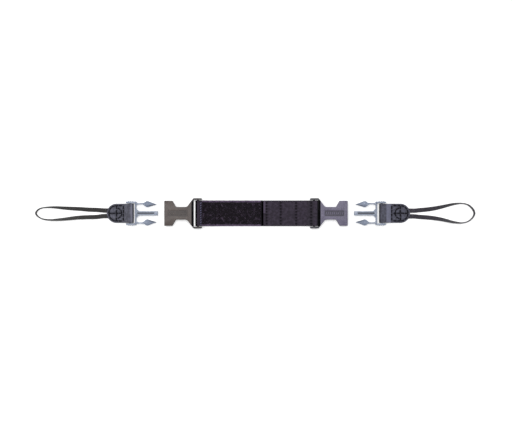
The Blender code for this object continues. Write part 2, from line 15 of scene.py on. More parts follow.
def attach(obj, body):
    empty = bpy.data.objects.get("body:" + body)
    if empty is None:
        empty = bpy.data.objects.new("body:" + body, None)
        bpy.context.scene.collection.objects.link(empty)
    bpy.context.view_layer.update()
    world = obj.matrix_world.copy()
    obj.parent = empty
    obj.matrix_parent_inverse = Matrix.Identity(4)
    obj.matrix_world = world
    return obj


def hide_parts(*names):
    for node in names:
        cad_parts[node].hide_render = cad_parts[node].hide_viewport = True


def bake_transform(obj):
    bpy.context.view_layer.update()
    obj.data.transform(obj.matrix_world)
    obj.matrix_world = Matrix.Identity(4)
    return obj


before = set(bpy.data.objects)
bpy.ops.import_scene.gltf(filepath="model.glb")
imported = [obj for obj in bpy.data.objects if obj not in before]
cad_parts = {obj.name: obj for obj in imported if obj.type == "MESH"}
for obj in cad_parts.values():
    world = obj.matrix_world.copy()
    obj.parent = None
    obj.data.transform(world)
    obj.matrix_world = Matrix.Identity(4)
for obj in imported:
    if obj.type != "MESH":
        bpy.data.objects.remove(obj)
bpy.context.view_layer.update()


def mm(value):
    return value * 0.001


def point(x, y, z=0.0):
    return Vector((mm(x), mm(y), mm(z)))


# part.py's own measures
MIDDLE_X = -2.35
BAR_X = 56.9
MOUTH_X = 32.7
MID_Z = 4.0
GAP = 0.3
PLUG_FACE_X = 117.3
TAB_BAR_X = 5.95
LEVEL_X = BAR_X - 7
STRAP_WIDTH = 25.4
STRAP_THICK = 1.4
STRAP_END_X = 7.35
HIDDEN_END_X = -38.0
PILE_START_X = -52.9
PILE_END_X = 6.4
SELVEDGE = 1.5
TAB_WIDTH = 19.0
TAB_THICK = 1.3
TAPE_WIDTH = 4.3
TAPE_THICK = 0.9
GROUND_Z = 0.02
TAIL_ROWS_X = (10.4, 24.3, 39.4, 54.2)
PILE_ROWS_X = (-39.6, -24.2, -9.3, 5.0)
SIDES = (("left", -1), ("right", 1))


# Objects and meshes


def new_object(name, data):
    obj = bpy.data.objects.new(name, data)
    bpy.context.scene.collection.objects.link(obj)
    return obj


def add_mesh(name, vertices, faces, made_of, body, smooth=True):
    """A mesh object from plain lists, riding on a body."""
    mesh = bpy.data.meshes.new(name)
    mesh.from_pydata(vertices, [], faces)
    mesh.materials.append(made_of)
    mesh.validate()
    if smooth:
        mesh.shade_smooth()
    obj = new_object(name, mesh)
    if body:
        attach(obj, body)
    return obj


def add_shape(vertices, faces, shape):
    """Adds one shape's vertices and faces to the lists of a piece made of many."""
    more, sides = shape
    first = len(vertices)
    vertices += more
    faces += [tuple(first + corner for corner in face) for face in sides]


def tube_faces(rings, sides, capped=True, turned=False):
    """Faces of a tube whose vertices are listed ring by ring. Turned, they wind the other way."""
    faces = []
    for i in range(rings - 1):
        for j in range(sides):
            k = (j + 1) % sides
            a, b = i * sides, (i + 1) * sides
            faces.append((a + j, b + j, b + k, a + k) if turned else (a + j, a + k, b + k, b + j))
    if capped:
        first = tuple(range(sides))
        last = tuple(range((rings - 1) * sides, rings * sides))
        faces += [first, last[::-1]] if turned else [first[::-1], last]
    return faces


def store(obj, name, rows):
    """Keeps three numbers at each point for the weave shaders.

    cloth_place is metres along and across the cloth. cloth_state is how pale it is, for wear and painted
    highlights, and how much painted shade it has, each from 0 to 1.
    """
    layer = obj.data.attributes.new(name, "FLOAT_VECTOR", "POINT")
    layer.data.foreach_set("vector", [number for row in rows for number in row])


def arc(centre, radius, start, end, steps):
    angles = [math.radians(start + (end - start) * i / steps) for i in range(steps + 1)]
    return [(centre[0] + radius * math.cos(a), centre[1] + radius * math.sin(a)) for a in angles]


def resample(path, step):
    """Evenly spaced points along a path, and the distance of each along it."""
    places = [Vector(place) for place in path]
    lengths = [0.0]
    for before, after in zip(places, places[1:]):
        lengths.append(lengths[-1] + (after - before).length)
    count = max(int(lengths[-1] / step), 2)
    found = []
    span = 0
    for i in range(count + 1):
        target = lengths[-1] * i / count
        while span < len(places) - 2 and lengths[span + 1] < target:
            span += 1
        share = (target - lengths[span]) / max(lengths[span + 1] - lengths[span], 1e-9)
        found.append((places[span].lerp(places[span + 1], share), target))
    return found


def smooth_line(points, rounds):
    """Rounds off the corners of a line, and keeps its ends."""
    for _ in range(rounds):
        inner = [(a + 2 * b + c) / 4 for a, b, c in zip(points, points[1:], points[2:])]
        points = [points[0], *inner, points[-1]]
    return points


# Material building blocks


def new_material(name):
    """A new material, its node tree and its shader's inputs."""
    made = bpy.data.materials.new(name)
    made.use_nodes = True
    return made, made.node_tree, made.node_tree.nodes["Principled BSDF"].inputs


def colour(srgb):
    """A linear colour from an sRGB one given as 0 to 255."""
    shares = [channel / 255 for channel in srgb]
    linear = [s / 12.92 if s <= 0.04045 else ((s + 0.055) / 1.055) ** 2.4 for s in shares]
    return (*linear, 1.0)


def fill(tree, inputs, wanted):
    """Sets inputs to numbers or colours (sRGB where there is no alpha), or links other outputs to them."""
    for key, value in wanted.items():
        if isinstance(value, (int, float)):
            inputs[key].default_value = value
        elif isinstance(value, tuple):
            inputs[key].default_value = value if len(value) == 4 else colour(value)
        else:
            tree.links.new(value, inputs[key])


def node(tree, kind, wanted, **settings):
    """A new node with its settings and inputs, as its outputs."""
    made = tree.nodes.new(kind)
    for key, value in settings.items():
        setattr(made, key, value)
    fill(tree, made.inputs, wanted)
    return made.outputs


def math_node(tree, operation, *values):
    return node(tree, "ShaderNodeMath", dict(enumerate(values)), operation=operation)[0]


def times(tree, first, second):
    return math_node(tree, "MULTIPLY", first, second)


def one_less(tree, share):
    """What a share leaves of 1."""
    return math_node(tree, "SUBTRACT", 1.0, share)


def wave(tree, angle):
    """Evenly spaced ridges between 0 and 1, one for each half turn."""
    return math_node(tree, "ABSOLUTE", math_node(tree, "SINE", angle))


def split(tree, vector):
    """The three parts of a vector output."""
    return node(tree, "ShaderNodeSeparateXYZ", {0: vector})


def coordinates(tree, kind):
    return node(tree, "ShaderNodeTexCoord", {})[kind]


def mix_colours(tree, factor, first, second):
    """Mixes two colours, each a colour or another node's output."""
    return node(tree, "ShaderNodeMix", {0: factor, 6: first, 7: second}, data_type="RGBA")[2]


def noise_texture(tree, scale, detail):
    """Noise over object space, in metres."""
    wanted = {"Scale": scale, "Detail": detail, "Vector": coordinates(tree, "Object")}
    return node(tree, "ShaderNodeTexNoise", wanted)["Fac"]


def ramp(tree, factor, low, high):
    """A factor stretched so that low becomes 0 and high becomes 1."""
    return node(tree, "ShaderNodeMapRange", {"Value": factor, "From Min": low, "From Max": high})[0]


def patches(tree, scale, detail, low, high):
    """Soft-edged patches: 0 where the noise is below low, and 1 where it is above high."""
    return ramp(tree, noise_texture(tree, scale, detail), low, high)


def add_bump(tree, height, distance, strength, before=None):
    """The surface's normal with relief added, over the relief before it if there is any."""
    wanted = {"Height": height, "Distance": mm(distance), "Strength": strength}
    if before is not None:
        wanted["Normal"] = before
    return node(tree, "ShaderNodeBump", wanted)["Normal"]


# Materials

PAINTED_SHADE_COLOUR = (0.01, 0.01, 0.012, 1.0)
UPRIGHT_RELIEF = 0.75
SOCKET_SIDES = (0.03, 0.14)
PLUG_SIDES = (0.12, 0.3)
SLOT_WALL_START = 4.6
SLOT_WALL_END = 5.8
CLOTH_SHADE_COLOUR = (4, 3, 5)
TAPE_PICK = 0.3
TAPE_RIB = 0.36


def side_share(tree, start, end):
    """Painted shade for a face's tilt: 0 while level, 1 on a rounded edge, and less again once upright."""
    upward = split(tree, coordinates(tree, "Normal"))[2]
    tilt = one_less(tree, math_node(tree, "ABSOLUTE", upward))
    upright = times(tree, ramp(tree, tilt, 0.8, 0.97), UPRIGHT_RELIEF)
    return times(tree, ramp(tree, tilt, start, end), one_less(tree, upright))


def darker_sides(tree, body, share, start, end):
    """Darkens the colour on the edges with painted shade."""
    return mix_colours(tree, times(tree, side_share(tree, start, end), share), body, PAINTED_SHADE_COLOUR)


def darker_frame(tree, body, share):
    """Darkens the colour with painted shade round the webbing slot, up to the slot's far wall."""
    place_x = split(tree, coordinates(tree, "Object"))[0]
    outwards = math_node(tree, "ABSOLUTE", math_node(tree, "SUBTRACT", place_x, mm(MIDDLE_X)))
    past_slot = ramp(tree, outwards, mm(BAR_X + SLOT_WALL_START), mm(BAR_X + SLOT_WALL_END))
    return mix_colours(tree, times(tree, one_less(tree, past_slot), share), body, PAINTED_SHADE_COLOUR)


def moulded_plastic(
    name, base, dark, pale, roughness, grain=0.02, edge_dark=1.0, sides=SOCKET_SIDES, frame_dark=0.0
):
    """Moulded nylon or acetal: faint flow clouding, fine grain, scuffs, paler rubbed spots and painted edge
    shade.
    """
    made, tree, inputs = new_material(name)
    clouds = patches(tree, 90, 3, 0.35, 0.65)
    speckle = patches(tree, 1400, 2, 0.42, 0.62)
    rubbed = patches(tree, 420, 5, 0.6, 0.74)
    body = mix_colours(tree, clouds, dark, base)
    fine = mix_colours(tree, times(tree, speckle, 0.35), body, pale)
    wear_and_light = mix_colours(tree, times(tree, rubbed, 0.55), fine, pale)
    # Painted shade round the webbing slot.
    if frame_dark:
        wear_and_light = darker_frame(tree, wear_and_light, frame_dark)
    level = one_less(tree, side_share(tree, *sides))
    varied = {"Value": noise_texture(tree, 700, 3), "To Min": roughness - 0.07, "To Max": roughness + 0.1}
    coarse = add_bump(tree, noise_texture(tree, 260, 3), 0.05, 0.5)
    fill(tree, inputs, {
        # Painted shade on the edges.
        "Base Color": darker_sides(tree, wear_and_light, edge_dark, *sides),
        "Specular IOR Level": times(tree, level, 0.5),
        "Roughness": node(tree, "ShaderNodeMapRange", varied)[0],
        "Normal": add_bump(tree, noise_texture(tree, 3200, 2), grain, 0.8, coarse),
    })
    return made


def cloth_attribute(tree, name):
    """The three numbers that store() kept at each point."""
    return split(tree, node(tree, "ShaderNodeAttribute", {}, attribute_name=name)["Vector"])


def webbing(name, base, dark, pale, warp, weft, faded, edge_dark, edge_range=(0.1, 0.6)):
    """Woven webbing: plump warp ribs along the band, crossed by weft, with a lighter yarn here and there."""
    made, tree, inputs = new_material(name)
    along, across, _ = cloth_attribute(tree, "cloth_place")
    rib = wave(tree, times(tree, across, math.pi / mm(warp)))
    # Neighbouring ribs show the weft half a step apart, as in a plain weave.
    rib_number = math_node(tree, "FLOOR", math_node(tree, "DIVIDE", across, mm(warp)))
    shift = times(tree, rib_number, math.pi / 2)
    picks_at = times(tree, along, math.pi / mm(weft))
    pick = wave(tree, math_node(tree, "ADD", picks_at, shift))
    height = times(tree, rib, math_node(tree, "ADD", pick, 0.35))
    clouds = patches(tree, 420, 4, 0.42, 0.62)
    yarn = patches(tree, 2600, 2, 0.4, 0.68)
    body = mix_colours(tree, ramp(tree, height, 0.15, 0.95), dark, base)
    flecked = mix_colours(tree, times(tree, yarn, 0.45), body, pale)
    soft = mix_colours(tree, times(tree, clouds, faded), flecked, pale)
    # cloth_state pales the cloth for wear and painted highlights, and paints shade at stitches, folds and
    # gaps.
    wear_and_highlight_share, shade_share, _ = cloth_attribute(tree, "cloth_state")
    wear_and_light = mix_colours(tree, wear_and_highlight_share, soft, pale)
    shaded = mix_colours(tree, shade_share, wear_and_light, CLOTH_SHADE_COLOUR)
    # Where shade is painted, the sheen and shine go too.
    unshaded = one_less(tree, shade_share)
    woven = add_bump(tree, height, 0.14, 0.9)
    fill(tree, inputs, {
        # Painted shade on the edges and selvedges.
        "Base Color": darker_sides(tree, shaded, edge_dark, *edge_range),
        "Roughness": 0.82,
        "Specular IOR Level": times(tree, unshaded, 0.3),
        "Sheen Weight": times(tree, unshaded, 0.15),
        "Sheen Roughness": 0.4,
        "Normal": add_bump(tree, yarn, 0.05, 0.6, woven),
    })
    return made


def yarn_material(name, base, pale, scale=2400, sheen=0.03):
    """Thread and fibre: a twisted, slightly uneven yarn."""
    made, tree, inputs = new_material(name)
    strands = patches(tree, scale, 3, 0.4, 0.62)
    fill(tree, inputs, {
        "Base Color": mix_colours(tree, strands, base, pale),
        "Roughness": 0.8,
        "Specular IOR Level": 0.2,
        "Sheen Weight": sheen,
        "Normal": add_bump(tree, strands, 0.04, 0.7),
    })
    return made


def tape_material(name, base, dark, pale):
    """Flat woven tape with lengthwise ribs and fine picks across them."""
    made, tree, inputs = new_material(name)
    along, across, _ = cloth_attribute(tree, "cloth_place")
    picks = wave(tree, times(tree, along, math.pi / mm(TAPE_PICK)))
    ribs = wave(tree, times(tree, across, math.pi / mm(TAPE_RIB)))
    height = times(tree, ribs, math_node(tree, "ADD", picks, 0.5))
    speckle = patches(tree, 1900, 3, 0.4, 0.65)
    clouds = patches(tree, 140, 3, 0.4, 0.65)
    body = mix_colours(tree, ramp(tree, height, 0.1, 1.1), dark, base)
    light = mix_colours(tree, times(tree, speckle, 0.5), body, pale)
    cloudy = mix_colours(tree, times(tree, clouds, 0.3), light, dark)
    fill(tree, inputs, {
        # Painted shade on the tape's edges.
        "Base Color": darker_sides(tree, cloudy, 0.65, 0.1, 0.7),
        "Roughness": 0.7,
        "Sheen Weight": 0.1,
        "Normal": add_bump(tree, height, 0.12, 0.9),
    })
    return made


SOCKET_PLASTICS = {
    "left": moulded_plastic(
        "left_socket_nylon", (74, 64, 60), (60, 51, 48), (110, 98, 93), 0.52, frame_dark=0.72
    ),
    "right": moulded_plastic(
        "right_socket_nylon", (98, 93, 115), (80, 75, 96), (138, 132, 156), 0.52, frame_dark=0.88
    ),
}
PLUG_PLASTIC = moulded_plastic(
    "plug_acetal", (128, 137, 156), (108, 117, 136), (190, 200, 218), 0.36, 0.012, 0.6, PLUG_SIDES
)
# The right panel's lining is much darker than its socket: painted shade of the sunk panel, with some dirt.
PANEL_PLASTICS = {
    "left": moulded_plastic("left_panel_nylon", (74, 67, 65), (62, 56, 55), (98, 90, 88), 0.6),
    "right": moulded_plastic("right_panel_nylon", (66, 63, 76), (54, 51, 64), (92, 88, 104), 0.6),
}
# A darker plastic: painted shade in the tongues' grooves.
GROOVE_SHADE_PLASTIC = moulded_plastic(
    "groove_acetal", (62, 70, 84), (46, 53, 66), (86, 94, 108), 0.5, 0.012, 0.4, PLUG_SIDES
)
STRAP_WEAVE = webbing(
    "strap_weave", (43, 36, 47), (20, 16, 23), (80, 70, 88), 0.62, 0.5, 0.35, 0.9, (0.03, 0.35)
)
PILE_GROUND = webbing("pile_ground_weave", (78, 63, 86), (38, 29, 43), (124, 106, 136), 0.5, 0.42, 0.45, 0.5)
PILE_BED = yarn_material("pile_bed", (8, 5, 9), (28, 21, 31), 1500)
PILE_FIBRE = yarn_material("pile_fibre", (9, 6, 10), (42, 32, 46), 900)
PILE_LIGHT_FIBRE = yarn_material("pile_light_fibre", (62, 47, 70), (112, 98, 118), 900)
TAB_WEAVES = {
    "left": webbing("left_tab_weave", (84, 84, 94), (44, 44, 50), (132, 132, 148), 0.55, 0.45, 0.4, 0.55),
    "right": webbing("right_tab_weave", (70, 69, 77), (36, 36, 41), (126, 127, 148), 0.55, 0.45, 0.3, 0.55),
}
TAPE_WEAVES = {
    "left": tape_material("left_tape_weave", (52, 50, 50), (18, 17, 17), (84, 82, 80)),
    "right": tape_material("right_tape_weave", (56, 52, 61), (20, 18, 22), (92, 87, 99)),
}
BLACK_THREAD = yarn_material("black_thread_yarn", (4, 4, 6), (20, 19, 25), 2400, 0.0)
PALE_THREAD = yarn_material("pale_thread_yarn", (88, 84, 116), (142, 140, 176))
DARK_ZIGZAG = yarn_material("dark_zigzag_yarn", (34, 30, 46), (70, 66, 88))


# Camera, lights and floor

VIEW_WIDTH = 0.5018
LENS = 85.0
SENSOR = 36.0
FLOOR_GLOW = 0.3
FLOOR_HALF = 6.0


def add_camera():
    data = bpy.data.cameras.new("overhead")
    data.lens = LENS
    data.sensor_width = SENSOR
    camera = new_object("overhead", data)
    distance = VIEW_WIDTH * LENS / SENSOR
    camera.location = (mm(MIDDLE_X), mm(-0.2), distance + mm(MID_Z))
    bpy.context.scene.camera = camera


def add_light(name, place, size, watts, target=(0, 0, 0)):
    data = bpy.data.lights.new(name, "AREA")
    data.shape = "RECTANGLE"
    data.size, data.size_y = size
    data.energy = watts
    light = new_object(name, data)
    light.location = place
    light.rotation_euler = (Vector(target) - Vector(place)).to_track_quat("-Z", "Y").to_euler()


def add_floor():
    """A plain, nearly white floor, just under the object."""
    made, tree, inputs = new_material("studio_floor")
    shades = ((0.94, 0.94, 0.94, 1.0), (0.96, 0.96, 0.96, 1.0))
    fill(tree, inputs, {
        "Base Color": mix_colours(tree, noise_texture(tree, 3.0, 2.0), *shades),
        "Roughness": 0.9,
        "Specular IOR Level": 0.1,
        "Emission Color": (1.0, 1.0, 1.0, 1.0),
        "Emission Strength": FLOOR_GLOW,
    })
    corners = [(x * FLOOR_HALF, y * FLOOR_HALF, 0) for x, y in ((-1, -1), (1, -1), (1, 1), (-1, 1))]
    floor = add_mesh("studio_floor", corners, [(0, 1, 2, 3)], made, None)


def add_world():
    world = bpy.data.worlds.new("soft studio")
    world.use_nodes = True
    background = world.node_tree.nodes["Background"]
    background.inputs[0].default_value = (0.97, 0.98, 1.0, 1.0)
    background.inputs[1].default_value = 0.32
    bpy.context.scene.world = world


add_camera()
add_floor()
add_world()
bpy.context.scene.view_settings.view_transform = "Standard"
add_light("soft box overhead", (-0.1, 0.16, 1.5), (0.7, 0.5), 14.0)
add_light("fill from the left", (-0.8, 0.35, 0.7), (0.6, 0.5), 1.6)
add_light("fill from the right", (0.8, 0.25, 0.7), (0.6, 0.5), 1.2)


# Tape loops. Each route is one strand, the far bend and the other strand, as x outwards from the strap's
# middle, y, and how far the tape has turned from lying flat, in degrees. They are part.py's routes.

LEFT_LOOP = [
    (146.8, -2.7, 0), (151.0, -2.9, 4), (156.8, -3.6, 14), (164.6, -3.8, 20), (172.5, -4.1, 28),
    (180.3, -4.8, 38), (188.2, -5.7, 50), (196.0, -6.3, 64), (201.9, -6.5, 76), (207.8, -5.9, 84),
    (211.7, -4.6, 90), (214.5, -2.6, 86), (216.0, 0.0, 84), (214.5, 2.8, 84), (211.7, 4.7, 86),
    (207.8, 5.6, 86), (201.9, 5.9, 74), (196.0, 5.7, 60), (188.2, 5.1, 46), (180.3, 4.6, 36),
    (172.5, 4.2, 28), (164.6, 3.6, 20), (156.8, 3.3, 14), (151.0, 2.9, 4), (146.8, 2.7, 0),
]
RIGHT_LOOP = [
    (151.5, 2.6, 0), (156.0, 2.6, 2), (161.0, 3.1, 6), (168.6, 3.8, 12), (176.4, 5.0, 26),
    (184.2, 6.7, 42), (192.1, 8.6, 58), (198.0, 9.5, 74), (202.4, 9.7, 86), (206.8, 8.8, 86),
    (209.9, 7.0, 79), (212.9, 3.8, 77), (214.3, 0.0, 80), (212.9, -3.8, 86), (209.9, -6.8, 90),
    (206.8, -8.5, 90), (202.4, -9.4, 84), (198.0, -9.2, 72), (192.1, -8.3, 56), (184.2, -6.4, 40),
    (176.4, -5.0, 26), (168.6, -4.1, 12), (161.0, -3.6, 6), (156.0, -3.1, 2), (151.5, -3.0, 0),
]
TAPE_POINTS = 240
TAPE_RIBS = 5
TAPE_RING = 40
TAPE_RUN_IN = 2.2
TAPE_SQUARENESS = 0.45
TAPE_RISE = 12


def smooth_route(knots, count):
    """Evenly counted points on a Catmull-Rom curve through the knots."""
    padded = [knots[0], *knots, knots[-1]]
    spans = len(knots) - 1
    found = []
    for i in range(count):
        place = spans * i / (count - 1)
        span = min(int(place), spans - 1)
        t = place - span
        a, b, c, d = (Vector(padded[span + k]) for k in range(4))
        found.append(
            0.5 * (2 * b + (c - a) * t + (2 * a - 5 * b + 4 * c - d) * t * t + (3 * b - a - 3 * c + d) * t**3)
        )
    return found


def tape_height(turn, near_tab):
    """Height of the tape's middle, resting on its lower edge, and raised where it leaves the tab."""
    lying = TAPE_THICK / 2 * abs(math.cos(turn)) + TAPE_WIDTH / 2 * abs(math.sin(turn))
    leaving = GROUND_Z + TAB_THICK + GAP / 2
    rest = lying + 2 * GROUND_Z
    return rest + max(leaving - rest, 0) * near_tab


def tape_section():
    """The tape's section as (across, up): flat faces with lengthwise ribs, and rounded edges."""
    ring = []
    for i in range(TAPE_RING):
        angle = 2 * math.pi * i / TAPE_RING
        across = math.copysign(abs(math.cos(angle)) ** TAPE_SQUARENESS, math.cos(angle)) * TAPE_WIDTH / 2
        up = math.copysign(abs(math.sin(angle)) ** TAPE_SQUARENESS, math.sin(angle)) * TAPE_THICK / 2
        rib = 0.5 + 0.5 * math.cos(2 * math.pi * TAPE_RIBS * (across / TAPE_WIDTH + 0.5) + math.pi)
        ring.append((across, up * (0.72 + 0.28 * rib)))
    return ring


def make_tape_loop(side, sign, knots):
    """The ribbed tape, with both ends run a little way into the tab between its layers."""
    tab_end = min(knot[0] for knot in knots)
    route = smooth_route(knots, TAPE_POINTS)
    centres, turns = [], []
    for x, y, turn in route:
        angle = math.radians(min(max(turn, 0), 90))
        near_tab = max(1 - (x - tab_end) / TAPE_RISE, 0) ** 2 if x > tab_end else 1
        centres.append(point(sign * x + MIDDLE_X, y, tape_height(angle, near_tab)))
        turns.append(angle)
    inwards = point(-sign * TAPE_RUN_IN, 0)
    centres = [centres[0] + inwards, *centres, centres[-1] + inwards]
    turns = [turns[0], *turns, turns[-1]]
    section = tape_section()
    vertices, places = [], []
    distance = 0.0
    for i, (centre, turn) in enumerate(zip(centres, turns)):
        after = centres[min(i + 1, len(centres) - 1)]
        before = centres[max(i - 1, 0)]
        along = (after - before).normalized()
        level = Vector((0, 0, 1)).cross(along).normalized()
        upright = along.cross(level)
        wide = level * math.cos(turn) + upright * math.sin(turn)
        thick = along.cross(wide)
        if i:
            distance += (centre - centres[i - 1]).length
        for across, up in section:
            vertices.append(centre + wide * mm(across) + thick * mm(up))
            places.append((distance, mm(across), mm(up)))
    faces = tube_faces(len(centres), TAPE_RING)
    piece = add_mesh(f"{side}_tape", vertices, faces, TAPE_WEAVES[side], f"{side}_tab")
    store(piece, "cloth_place", places)
    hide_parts(f"{side}_tape_loop")
    path = [tuple(centre) for centre in centres[::4]]
    if path[-1] != tuple(centres[-1]):
        path.append(tuple(centres[-1]))


make_tape_loop("left", -1, LEFT_LOOP)
make_tape_loop("right", 1, RIGHT_LOOP)


# Sockets and plugs: the CAD shapes with every hard edge rounded, and finer detail added


def softened_copy(name, node_name, width, made_of, body):
    """A copy of a CAD mesh with its flat faces merged and its edges rounded, standing for that node."""
    source = bpy.data.objects[node_name]
    obj = new_object(name, source.data.copy())
    obj.matrix_world = source.matrix_world.copy()
    obj.data.materials.clear()
    obj.data.materials.append(made_of)
    shape = bmesh.new()
    shape.from_mesh(obj.data)
    bmesh.ops.remove_doubles(shape, verts=shape.verts, dist=mm(0.004))
    bmesh.ops.dissolve_limit(shape, angle_limit=math.radians(1.5), verts=shape.verts, edges=shape.edges)
    shape.to_mesh(obj.data)
    shape.free()
    round_edges(obj, width, 32, miter="MITER_ARC")
    obj.data.shade_smooth()
    obj.data.set_sharp_from_angle(angle=math.radians(38))
    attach(obj, body)
    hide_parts(node_name)
    return obj


def round_edges(obj, width, angle, segments=3, miter="MITER_SHARP"):
    """Rounds the edges that turn by more than the angle, and keeps the result as the object's own mesh."""
    bevel = obj.modifiers.new("rounded edges", "BEVEL")
    bevel.width = mm(width)
    bevel.segments = segments
    bevel.limit_method = "ANGLE"
    bevel.angle_limit = math.radians(angle)
    bevel.miter_outer = miter
    bpy.context.view_layer.update()
    evaluated = obj.evaluated_get(bpy.context.evaluated_depsgraph_get())
    mesh = bpy.data.meshes.new_from_object(evaluated)
    obj.modifiers.clear()
    obj.data = mesh


def side_point(sign, x, y, z):
    """A point given outwards along one side's own +X, counted from the strap's middle."""
    return point(sign * x + MIDDLE_X, sign * y, z)


for side, _ in SIDES:
    socket = softened_copy(
        f"{side}_socket_shell", f"{side}_socket", 0.78, SOCKET_PLASTICS[side], f"{side}_socket"
    )
    plug = softened_copy(f"{side}_plug_frame", f"{side}_plug", 0.2, PLUG_PLASTIC, f"{side}_plug")


# Webbing: bands swept along their folds, with crowned faces, round selvedges and dips where they are sewn


def band_frames(path, step, rounds):
    """Evenly spaced (centre, normal, distance) frames along a fold in the XZ plane."""
    found = resample(path, step)
    centres = smooth_line([place for place, _ in found], rounds)
    frames = []
    for i, (centre, (_, distance)) in enumerate(zip(centres, found)):
        along = (centres[min(i + 1, len(centres) - 1)] - centres[max(i - 1, 0)]).normalized()
        frames.append((centre, Vector((-along.y, along.x)), distance))
    return frames


BAND_CROWN = 0.12
SELVEDGE_STEPS = 6


def band_section(width, thick, across_count):
    """The section as (across, up, side): two slightly crowned faces joined by round selvedges."""
    half = width / 2 - thick / 2
    ring = []
    for side in (1, -1):
        for i in range(across_count + 1):
            share = 2 * i / across_count - 1
            across = share * half * side
            up = thick / 2 * (1 - BAND_CROWN * share**4)
            ring.append((across, up * side, side))
        for i in range(1, SELVEDGE_STEPS):
            angle = math.pi * i / SELVEDGE_STEPS
            reach = thick / 2 * (1 - BAND_CROWN)
            ring.append((side * (half + reach * math.sin(angle)), side * reach * math.cos(angle), 0))
    return ring


def make_band(
    name, frames, width, thick, made_of, body, to_world, dip, state, across_count, half_width=None
):
    """Sweeps the section along the frames.

    dip(centre, across, facing) gives how far a face sinks, state(centre, across, facing) how pale it is for
    wear and painted highlights and how much painted shade it has, to_world places a point, and half_width(x)
    narrows the band where it isn't its full width.
    """
    section = band_section(width, thick, across_count)
    vertices, places, states = [], [], []
    for centre, normal, distance in frames:
        narrow = half_width(centre.x) * 2 / width if half_width else 1.0
        for full_across, up, side in section:
            across = full_across * narrow
            facing = normal.y * side
            sunk = dip(centre, across, facing) if side else 0.0
            height = up - math.copysign(sunk, up)
            x, z = centre.x + normal.x * height, centre.y + normal.y * height
            vertices.append(to_world(x, across, z))
            places.append((mm(distance), mm(across), mm(up)))
            states.append((*state(centre, across, facing), 0))
    faces = tube_faces(len(frames), len(section), turned=True)
    obj = add_mesh(name, vertices, faces, made_of, body)
    store(obj, "cloth_place", places)
    store(obj, "cloth_state", states)
    obj.data.set_sharp_from_angle(angle=math.radians(70))
    return obj


def strap_point(x, y, z):
    return point(x + MIDDLE_X, y, z)


def roughly(x, y, seed, size):
    """Smooth noise between -1 and 1 over a plan position."""
    return noise.noise(Vector((x / size, y / size, seed)))


def sewn_dip(distance, depth, reach):
    """How far cloth sinks beside a line of stitches."""
    return depth * math.exp(-((distance / reach) ** 2))


# The strap

STRAP_LIE = 0.07
ROW_PITCH = 2.9
ROW_STITCH = 1.5
ROW_LEAN = 0.25
UPPER_Z = GROUND_Z + STRAP_THICK * 1.5 + GAP
RIGHT_WRAP_X = BAR_X + 1.7
RIGHT_WRAP_R = 2.1
ROW_DEPTH = 0.26
CREASE_END_X = 9.4


def strap_path():
    """part.py's fold: the hidden left end, the left bar, along the ground, the right bar and back."""
    ground = GROUND_Z + STRAP_THICK / 2
    path = [(HIDDEN_END_X, UPPER_Z), (-LEVEL_X, UPPER_Z)]
    path += arc((-BAR_X, MID_Z), 2.0, 75, 285, 16)
    path += [(-LEVEL_X, ground), (LEVEL_X + 1, ground)]
    path += arc((RIGHT_WRAP_X, MID_Z), RIGHT_WRAP_R, -75, 90, 14)
    path += [(BAR_X - 0.3, MID_Z + RIGHT_WRAP_R), (LEVEL_X, UPPER_Z), (STRAP_END_X, UPPER_Z)]
    return path


def strap_dip(centre, across, facing):
    """Dips along the rows on the strap's upper fold, and a faint unevenness everywhere."""
    if centre.x > RIGHT_WRAP_X:
        return 0.0
    sunk = STRAP_LIE * (0.6 + 0.4 * roughly(centre.x, across, 3.0, 7.0))
    if facing > 0 and centre.y > UPPER_Z - 0.2 and centre.x > 0:
        puckers = 0.75 - 0.25 * math.cos(2 * math.pi * across / ROW_PITCH)
        for row in TAIL_ROWS_X:
            sunk += sewn_dip(centre.x - row, ROW_DEPTH, 1.5) * puckers
    return sunk


def strap_state(centre, across, facing):
    """Paler along part of the strap's cut end, and painted shade at its stitches, in its folds round the bars
    and in the gap beside the pile's end.
    """
    # Painted shade in the folds round both bars.
    if centre.x < -BAR_X - 0.75 or centre.x > RIGHT_WRAP_X + 1.3:
        return 0.0, 1.0
    if facing <= 0 or centre.x < 0:
        return 0.0, 0.0
    # Painted shadow on the lower layer, in the gap between the pile's end and the strap's cut end.
    if centre.y < UPPER_Z - 0.2:
        return 0.0, 1.0 if PILE_END_X - 1.0 < centre.x < STRAP_END_X + 0.3 else 0.0
    # Painted shade at the stitch holes.
    stitch = 0.5 - 0.5 * math.cos(2 * math.pi * across / ROW_PITCH)
    shaded = max(sewn_dip(centre.x - row, 1.0, 1.0) for row in TAIL_ROWS_X) * (0.05 + 0.95 * stitch)
    wear_and_light = 1.0 if centre.x < CREASE_END_X and across > 0 else 0.0
    return wear_and_light, shaded


strap_band = make_band(
    "strap_band", band_frames(strap_path(), 0.42, 4), STRAP_WIDTH, STRAP_THICK, STRAP_WEAVE, "strap",
    strap_point, strap_dip, strap_state, 72,
)
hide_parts("strap_webbing")


# Thread: each stitch is its own short yarn, its ends sunk into the cloth


STITCH_RINGS = 9
STITCH_SIDES = 8


